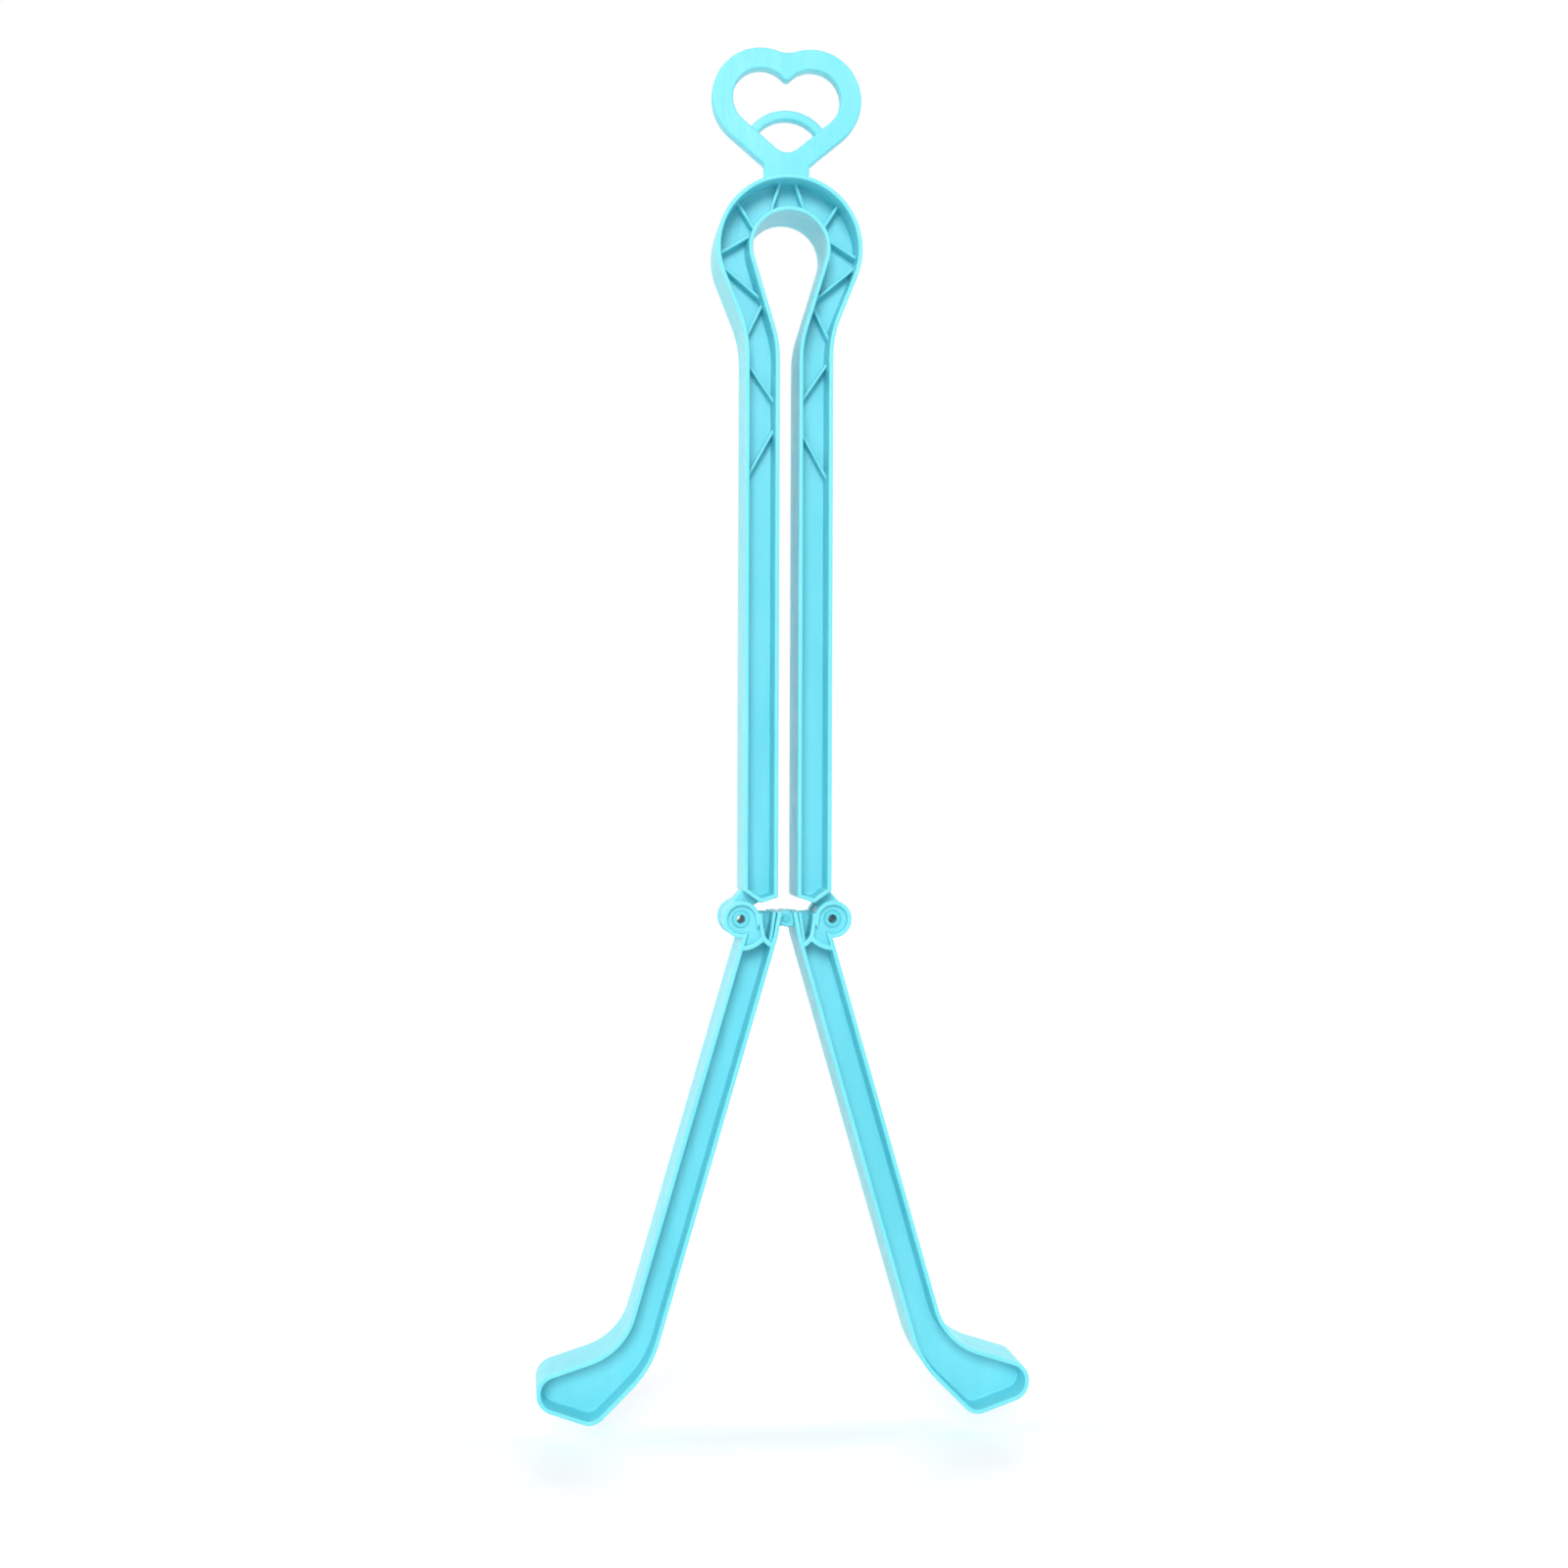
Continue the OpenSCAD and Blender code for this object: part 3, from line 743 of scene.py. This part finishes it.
def tongue(side):
    """The tongue of the right arm where side is 1, and of the left arm where it is -1."""
    corner = Vector((ARM_OUT - LINK, arm_end_z(ARM_OUT) - PIVOT_Z))
    touch = math.degrees(corner.angle_signed(Vector((1, 0))) - math.acos(TONGUE_R / corner.length))
    right = arc((0, 0), DISC_ARC_R, touch - RIGHT_SWEEP, touch, 6)
    left = arc((0, 0), DISC_ARC_R, LEFT_START, LEFT_END, 3)
    points = [
        MIDDLE_OF_DISC, *right, corner,
        (corner.x - WALL / 2, arm_end_z(ARM_OUT - WALL / 2) - PIVOT_Z + WALL / 2),
        (ARM_MID - LINK - 1, arm_end_z(ARM_MID) - PIVOT_Z + WALL / 2), *left]
    places = [(side * (x + LINK), z + PIVOT_Z, 0) for x, z in points][::side]
    plate = slab("tongue", shape(places), -TONGUE_Y, TONGUE_Y, EDGE)
    disc = slab("tongue end", round_outline((side * LINK, PIVOT_Z), TONGUE_R), -TONGUE_Y, TONGUE_Y, EDGE)
    return join(plate, disc)


for side in (-1, 1):
    join(handle, tongue(side))
    eye = round_outline((side * LINK, PIVOT_Z), PIN_R + RUNNING_FIT)
    carve(handle, sweep("eye", eye, through_steps(TONGUE_Y, EDGE)))
print("handle:", len(handle.data.polygons), "faces")

# %% [markdown]
# ## Legs
#
# Each leg is drawn hanging straight down from its hinge and then turned to where it stands spread. It has the
# handle's H section and a blunt foot that kicks outwards. The right leg is drawn, with its hinge at the
# origin, and the left leg is its mirror image, but for the knuckles. The head is cut level above the hinge.
# The recess is drawn with that upper edge raised, so that it is open at the top.

# %% Leg outline
SPREAD = math.radians(16.2)
LEG_IN, LEG_OUT = -11.35, -1.65
HEEL_X, HEEL_Z, HEEL_R = LEG_OUT + 1.35, -149.5, 5.2
ANKLE_RISE, ANKLE_R = 20, 30
SOLE, SOLE_RISE = 17.3, 1
TOE_H, TOE_LEAN, TOE_R = 8.2, 2.2, 5.8
INSTEP_RISE, INSTEP_R = 23.2, 18
HEAD_RISE, HEAD_BEND_Z = 2.0, -6
HEAD_CORNER = Vector((1.6 - LINK, HEAD_RISE))


def standing(x, z, radius=0.0):
    """A corner of the hanging leg, turned to where it stands spread."""
    return (*turned((x, z), SPREAD), radius)


bend = Vector(standing(LEG_IN, turned((-LINK, HEAD_BEND_Z), -SPREAD).y)[:2])


def leg_corners(raised=0.0):
    """The leg's outline, with the head's upper edge raised."""
    top = HEAD_CORNER + raised * (HEAD_CORNER - bend).normalized()
    toe_x, toe_z = HEEL_X + SOLE, HEEL_Z + SOLE_RISE
    return [
        standing(LEG_IN, HEEL_Z + ANKLE_RISE, ANKLE_R),
        standing(HEEL_X, HEEL_Z, HEEL_R),
        standing(toe_x, toe_z, TOE_R),
        standing(toe_x + TOE_LEAN, toe_z + TOE_H, TOE_R),
        standing(LEG_OUT, HEEL_Z + INSTEP_RISE, INSTEP_R),
        standing(LEG_OUT, 0),
        (0, HEAD_RISE + raised, 0), (top.x, top.y, 0), (bend.x, bend.y, 0)]


print("foot's lowest point:", round(PIVOT_Z + min(p.y for p in outline(leg_corners())), 3), "mm")

# %% [markdown]
# The walls inside the head stiffen it round the pins. They are arcs round the side hinge and round the middle
# pivot, and a straight post. All three meet in one point, which follows from their radii. A thin slanted
# stiffener stands in the recess beside the post. Each wall is a strip along a line of points.

# %% Head walls
PIVOT_ARC_R, CENTRE_ARC_R, ARC_WALL = 8.2, 8.7, 1.4
POST_X = 5.4
HEAD_Y = HALF_DEPTH - 0.1
PIVOT_ARC_END, CENTRE_ARC_START = -60, -85
STIFFENER_W, STIFFENER_Y, STIFFENER_EDGE = 1.0, HALF_DEPTH - 1, 0.25
STIFFENER_LOW_X, STIFFENER_TOP_X = 5, 3.6  # from the middle pivot
JUST_INSIDE = 0.02
middle = Vector((-LINK, 0))
junction_x = (LINK ** 2 + CENTRE_ARC_R ** 2 - PIVOT_ARC_R ** 2) / (2 * LINK) - LINK
junction = Vector((junction_x, -math.sqrt(PIVOT_ARC_R ** 2 - junction_x ** 2)))


def ribbon(points, width):
    """The corners of a strip along a line of points."""
    last = len(points) - 1
    ways = [(points[min(k + 1, last)] - points[max(k - 1, 0)]).normalized() for k in range(last + 1)]
    right = [p - turned(w, math.pi / 2) * width / 2 for p, w in zip(points, ways)]
    left = [p + turned(w, math.pi / 2) * width / 2 for p, w in zip(points, ways)]
    return [(p.x, p.y, 0) for p in right + left[::-1]]


def angle_of(way):
    return math.degrees(math.atan2(way.y, way.x))


def stiffener():
    low = Vector((STIFFENER_LOW_X - LINK, -math.sqrt(CENTRE_ARC_R ** 2 - STIFFENER_LOW_X ** 2)))
    top = Vector((STIFFENER_TOP_X - LINK, HEAD_RISE - JUST_INSIDE))
    strip = shape(ribbon([low, top], STIFFENER_W))
    return slab("stiffener", strip, -STIFFENER_Y, STIFFENER_Y, STIFFENER_EDGE)


def head_walls():
    """The walls inside the head. They run on past the leg's outline, which limits them later."""
    lines = [
        (arc((0, 0), PIVOT_ARC_R, angle_of(junction), PIVOT_ARC_END, 24), ARC_WALL),
        (arc(middle, CENTRE_ARC_R, CENTRE_ARC_START, angle_of(junction - middle), 20), ARC_WALL),
        ([junction, Vector((-POST_X, 0)), Vector((-POST_X, HEAD_RISE - 0.3))], WALL)]
    strips = [shape(ribbon(points, width)) for points, width in lines]
    walls = [slab("head wall", strip, -HEAD_Y, HEAD_Y, EDGE) for strip in strips]
    walls.append(slab("wall joint", round_outline(junction, ARC_WALL / 2 + 0.1), -HEAD_Y, HEAD_Y, EDGE))
    return walls + [stiffener()]


print("the head's walls meet at", [round(v, 2) for v in junction], "from the side hinge")

# %% [markdown]
# The pocket round the hinge has the form of an egg: a disc inside the cheek's raised edge and the space below
# it, down to the curved wall. Its floor is the outer face of the cheek. The cheeks themselves are discs on
# both sides of the gap for the tongue, joined to the leg by a floor that fills the same space.

# %% Pocket round the hinge
POCKET_FOOT, POCKET_RIM = 0.3, 0.25
POCKET_START = -130
LEFT_TOP, LEFT_LOW = Vector((WALL - CHEEK_R, 0.3)), Vector((WALL / 2 - POST_X, -4.2))
FINE_EDGE = 0.05


def below_cheek(edge, arc_r, start, left_side):
    """Corners of the space between the outer wall, the curved wall and the post."""
    line_x = LEG_OUT - edge
    foot = Vector(standing(line_x, -math.sqrt(arc_r ** 2 - line_x ** 2))[:2])
    top = Vector(standing(line_x, line_x * math.tan(SPREAD))[:2])
    curve = arc((0, 0), arc_r, start, angle_of(foot), 16)
    return shape([(*p, 0) for p in left_side + curve + [top]])


def pocket_cutters():
    steps = pocket_steps(CHEEK_FAR_Y, HEAD_Y, 0, POCKET_FOOT, POCKET_RIM)
    low = below_cheek(WALL + JUST_INSIDE, PIVOT_ARC_R - ARC_WALL / 2, POCKET_START, [LEFT_TOP, LEFT_LOW])
    disc = round_outline((0, 0), CHEEK_R - WALL)
    return [join(sunk("cheek pocket", disc, steps, side), sunk("low pocket", low, steps, side))
            for side in (-1, 1)]


def cheeks():
    """The cheeks and their floors, in front and behind."""
    disc = round_outline((0, 0), CHEEK_R)
    floor = below_cheek(WALL / 2, PIVOT_ARC_R, angle_of(junction), [Vector((-POST_X, 0))])
    return [*on_both_sides(lambda y0, y1: slab("cheek", disc, y0, y1, EDGE), CHEEK_NEAR_Y, HEAD_Y),
            *on_both_sides(lambda y0, y1: slab("floor", floor, y0, y1, FINE_EDGE), CHEEK_NEAR_Y, CHEEK_FAR_Y)]


print("pocket round the hinge:", round(HEAD_Y - CHEEK_FAR_Y, 2), "mm deep")

# %% [markdown]
# The body of a leg comes together step by step: first the H section, then the walls in the head, the cheeks,
# their pockets, the space for the tongue, and last the pin hole. The order matters, because a cut also opens
# what was joined before it, and leaves what is joined later.

# %% Leg body
RAISED = 4.0
TURNING_GAP = 0.35
PIN_HOLE_RIM = 0.15


def leg_limit(inset):
    return outline(leg_corners(), JUST_INSIDE + inset)


def leg_body():
    """One leg without its knuckles, round its hinge."""
    body = slab("leg", shape(leg_corners()), -HALF_DEPTH, HALF_DEPTH, EDGE)
    carve(body, *recesses(leg_corners(RAISED)))
    walls = head_walls()
    inside = join(walls[0], *walls[1:])
    combine(inside, [slab("leg limit", leg_limit, -HALF_DEPTH - 1, HALF_DEPTH + 1)], "INTERSECT")
    join(body, inside, *cheeks())
    carve(body, *pocket_cutters())
    tongue_space = round_outline((0, 0), TONGUE_R + TURNING_GAP)
    carve(body, slab("tongue space", tongue_space, -CHEEK_NEAR_Y, CHEEK_NEAR_Y, FINE_EDGE))
    pin_hole = round_outline((0, 0), PIN_R)
    return carve(body, sweep("pin hole", pin_hole, through_steps(CHEEK_FAR_Y, PIN_HOLE_RIM)))


right_leg, left_leg = leg_body(), leg_body()
print("a leg without knuckles:", len(right_leg.data.polygons), "faces")

# %% [markdown]
# ## Knuckles
#
# The legs meet between the arms. The left leg has one knuckle with a slotted eye there, and the right leg has
# two that hold the pin. Each leg is hollowed where the other's knuckle turns.

# %% Knuckles
FOLD = math.radians(16.9)
KNUCKLE_R, MID_PIN_R = 2.3, 1.0
KNUCKLE_Y, FORK_NEAR_Y, FORK_FAR_Y, HOLE_Y = 2.5, 2.8, 5.8, 8
SIDE_GAP, SLOT_GAP = 0.3, 0.25
KNUCKLE_EDGE, SLOT_RIM = 0.2, 0.15
ROOT_X, ROOT_TOP = 2.2 - LINK, HEAD_RISE - 0.2


def travel(angle):
    """Where the middle pin is in the slotted eye, from the fold angle of the legs."""
    length = 2 * LINK * (math.cos(angle) - math.cos(FOLD))
    return Vector((-length * math.cos(FOLD - 2 * angle), -length * math.sin(FOLD - 2 * angle)))


def slot_outline(a, b, radius):
    """A slot with round ends from a to b."""
    way = angle_of(b - a)
    return lambda inset: (arc(a, radius - inset, way + 90, way + 270, 24)
                          + arc(b, radius - inset, way - 90, way + 90, 24))


def knuckle(y0, y1, eye):
    """A knuckle of that form with the root that joins it to the head."""
    low, high = -KNUCKLE_R, ROOT_TOP
    root = shape([(-LINK, low, 0), (ROOT_X, low, 0), (ROOT_X, high, 0), (-LINK, high, 0)])
    return join(slab("root", root, y0, y1, KNUCKLE_EDGE), slab("knuckle", eye, y0, y1, KNUCKLE_EDGE))


print("the pin travels", round(travel(0).length, 2), "mm in the slotted eye")

# %% [markdown]
# Each leg is first hollowed where the other's knuckle turns, and then gets its own knuckles. The left leg's
# knuckle moves along a curve as the legs fold, so the right leg is hollowed for three angles of the fold.

# %% Fork and slotted eye


def add_fork(body):
    """The right leg: room for the other leg's knuckle, and a fork that holds the middle pin."""
    apart = Vector((0.001, 0))  # a slot needs a length, and at the full fold the pin has travelled nothing
    for angle in (0, FOLD / 2, FOLD):
        away = travel(angle)
        stop = middle + Vector((-away.x, away.y))
        room = slot_outline(middle, stop + apart, KNUCKLE_R + TURNING_GAP)
        carve(body, slab("scoop", room, -FORK_NEAR_Y, FORK_NEAR_Y, FINE_EDGE))
    eye = round_outline(middle, KNUCKLE_R)
    join(body, *on_both_sides(lambda y0, y1: knuckle(y0, y1, eye), FORK_NEAR_Y, FORK_FAR_Y))
    carve(body, slab("middle hole", round_outline(middle, MID_PIN_R), -HOLE_Y, HOLE_Y, FINE_EDGE))


def add_slotted_eye(body):
    """The left leg: room for the fork, and a knuckle with a slot for the middle pin."""
    far = middle + travel(0)
    room = round_outline(middle, KNUCKLE_R + TURNING_GAP)
    far_y = FORK_FAR_Y + SIDE_GAP
    carve(body, *on_both_sides(lambda y0, y1: slab("scoop", room, y0, y1, FINE_EDGE), KNUCKLE_Y, far_y))
    join(body, knuckle(-KNUCKLE_Y, KNUCKLE_Y, slot_outline(far, middle, KNUCKLE_R)))
    slot = slot_outline(far, middle, MID_PIN_R + SLOT_GAP)
    carve(body, sweep("slotted eye", slot, through_steps(KNUCKLE_Y, SLOT_RIM)))


add_fork(right_leg)
add_slotted_eye(left_leg)
print("legs with knuckles:", len(left_leg.data.polygons), "and", len(right_leg.data.polygons), "faces")

# %% [markdown]
# Both legs are then moved to their hinges. The left one is mirrored, which turns its faces inside out, so the
# mesh is tidied again.

# %% Legs in place


def place(made, mirror):
    """Move a leg from round its hinge to where it belongs."""
    made.data.transform(Matrix.Translation((LINK, 0, PIVOT_Z)))
    if mirror:
        made.data.transform(Matrix.Scale(-1, 4, (1, 0, 0)))
    tidy_mesh(made)


place(right_leg, mirror=False)
place(left_leg, mirror=True)
print("legs in place:", len(left_leg.data.polygons), "and", len(right_leg.data.polygons), "faces")

# %% [markdown]
# ## Pins
#
# The side pins are short tubes whose rounded ends stand just out of the cheeks. The middle pin is solid. Each
# is drawn a hundredth of a millimetre thinner than its hole, so that no two surfaces lie in one place.

# %% Pins
PIN_PROUD, PIN_EASE = 0.4, 0.01
PIN_EDGE, BORE_RIM = 0.35, 0.25
MID_PIN_Y, MID_PIN_EDGE = 6.2, 0.3


def side_pin(side):
    centre, half = (side * LINK, PIVOT_Z), CHEEK_FAR_Y + PIN_PROUD
    made = slab("pin", round_outline(centre, PIN_R - PIN_EASE), -half, half, PIN_EDGE)
    return carve(made, sweep("pin bore", round_outline(centre, PIN_HOLE_R), through_steps(half, BORE_RIM)))


def middle_pin():
    round_pin = round_outline((0, PIVOT_Z), MID_PIN_R - PIN_EASE)
    return slab("middle pin", round_pin, -MID_PIN_Y, MID_PIN_Y, MID_PIN_EDGE)


pins = {"left_pivot_pin": side_pin(-1), "right_pivot_pin": side_pin(1), "middle_pin": middle_pin()}
print("pins:", {name: len(made.data.polygons) for name, made in pins.items()})

# %% [markdown]
# ## Handing the pieces over
#
# Each mesh goes from millimetres to metres. Large flat faces next to tiny rounded edges shade badly with
# plain smooth normals, so the Weighted Normal modifier lets the large face win and keeps real corners sharp.

# %% Handing the pieces over
SHARP_FROM = math.radians(38)


def hand_over(made, name, body, node, material):
    """Give a finished mesh its scale, material and shading, and its place in the frame."""
    made.name = made.data.name = name
    made.data.transform(Matrix.Scale(0.001, 4))
    made.data.materials.clear()
    made.data.materials.append(material)
    made.data.polygons.foreach_set("material_index", [0] * len(made.data.polygons))
    made.data.polygons.foreach_set("use_smooth", [True] * len(made.data.polygons))
    made.data.set_sharp_from_angle(angle=SHARP_FROM)
    modifier = made.modifiers.new("weighted", "WEIGHTED_NORMAL")
    modifier.keep_sharp = True
    plain_mesh(made)
    made.data.name = name
    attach(made, body)
    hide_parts(node)
    print(name, "-", len(made.data.polygons), "faces")


hand_over(handle, "handle_moulding", "handle", "squeeze_handle", moulded)
hand_over(left_leg, "left_leg_moulding", "left_leg", "left_leg", moulded)
hand_over(right_leg, "right_leg_moulding", "right_leg", "right_leg", moulded)
pin_bodies = {"left_pivot_pin": "left_leg", "right_pivot_pin": "right_leg", "middle_pin": "right_leg"}
for node, made in pins.items():
    hand_over(made, node + "_piece", pin_bodies[node], node, pin_plastic)

# %% [markdown]
# ## Floor
#
# The floor is a matt white sheet. The camera and the gloss see it a little brighter than it is, through the
# Light Path node, so that it runs into the white backdrop, and the shaper's soft shadow still shows on it. It
# lies a little below the spread feet, because the feet swing down that far when the legs close.

# %% Floor
FLOOR_Z = (PIVOT_Z + HEEL_Z) / 1000 - 0.0003  # metres, like the reach
FLOOR_REACH = 3
FLOOR_LIFT = 0.2
SQUARE = ((-1, -1), (1, -1), (1, 1), (-1, 1))


def either(tree, a, b):
    """1 where a or b is 1."""
    return add_node(tree, "ShaderNodeMath", {0: a, 1: b}, operation="MAXIMUM").outputs[0]


def white_floor():
    material = bpy.data.materials.new("matt white floor")
    material.use_nodes = True
    tree = material.node_tree
    shader = tree.nodes["Principled BSDF"]
    shader.inputs["Base Color"].default_value = linear("#e6e6e6")
    shader.inputs["Roughness"].default_value = 0.9
    shader.inputs["Specular IOR Level"].default_value = 0.1
    shader.inputs["Emission Color"].default_value = linear("#ffffff")
    path = add_node(tree, "ShaderNodeLightPath").outputs
    seen = either(tree, path["Is Camera Ray"], path["Is Glossy Ray"])
    glow = add_node(tree, "ShaderNodeMath", {0: seen, 1: FLOOR_LIFT}, operation="MULTIPLY")
    tree.links.new(glow.outputs[0], shader.inputs["Emission Strength"])
    return material


floor = mesh_object("floor", [(FLOOR_REACH * x, FLOOR_REACH * y, FLOOR_Z) for x, y in SQUARE], [(0, 1, 2, 3)])
floor.data.materials.append(white_floor())
print("floor at", round(1000 * FLOOR_Z, 2), "mm")

# %% [markdown]
# ## Backdrop and light
#
# The photograph was lit in a white tent, most strongly from the front. The floors of the recesses are nearly
# as pale there as the faces, and the walls between them stay a deep teal. A dim white world with four wide
# suns, one on each side, does the same: the front sun reaches the recess floors and only brushes their walls.
# The gloss shows the front sun alone, so that each rounded edge has one highlight. A sun lights the whole
# floor evenly, so the floor can be white right up to the backdrop.

# %% Backdrop and light
WORLD_LIGHT, WORLD_SEEN = 0.42, 1.0


def white_world():
    """A world that lights dimly and is seen as plain white."""
    world = bpy.data.worlds.new("white tent")
    bpy.context.scene.world = world
    world.use_nodes = True
    tree = world.node_tree
    background = tree.nodes["Background"]
    background.inputs["Color"].default_value = linear("#ffffff")
    path = add_node(tree, "ShaderNodeLightPath").outputs
    seen = either(tree, path["Is Camera Ray"], path["Is Glossy Ray"])
    shown = either(tree, seen, path["Is Transmission Ray"])
    strength = add_node(tree, "ShaderNodeMapRange",
                        {"Value": shown, "To Min": WORLD_LIGHT, "To Max": WORLD_SEEN})
    tree.links.new(strength.outputs[0], background.inputs["Strength"])


def add_sun(name, azimuth, elevation, strength, spread, mirrored_in_gloss=False):
    """A sun that shines from that azimuth and elevation in degrees. Azimuth 0 is the front, 90 the right."""
    lamp = bpy.data.lights.new(name, "SUN")
    lamp.energy, lamp.angle = strength, math.radians(spread)
    made = bpy.data.objects.new(name, lamp)
    a, e = math.radians(azimuth), math.radians(elevation)
    source = Vector((math.sin(a) * math.cos(e), -math.cos(a) * math.cos(e), math.sin(e)))
    made.rotation_euler = (-source).to_track_quat("-Z", "Y").to_euler()
    made.visible_glossy = mirrored_in_gloss
    bpy.context.scene.collection.objects.link(made)
    print(name, "from", [round(v, 2) for v in source])


white_world()
add_sun("front sun", azimuth=-10, elevation=22, strength=1.85, spread=22, mirrored_in_gloss=True)
add_sun("back sun", azimuth=170, elevation=22, strength=1.7, spread=40)
add_sun("left sun", azimuth=-94, elevation=25, strength=1.1, spread=40)
add_sun("right sun", azimuth=94, elevation=25, strength=1.1, spread=40)
bpy.context.scene.view_settings.view_transform = "Standard"
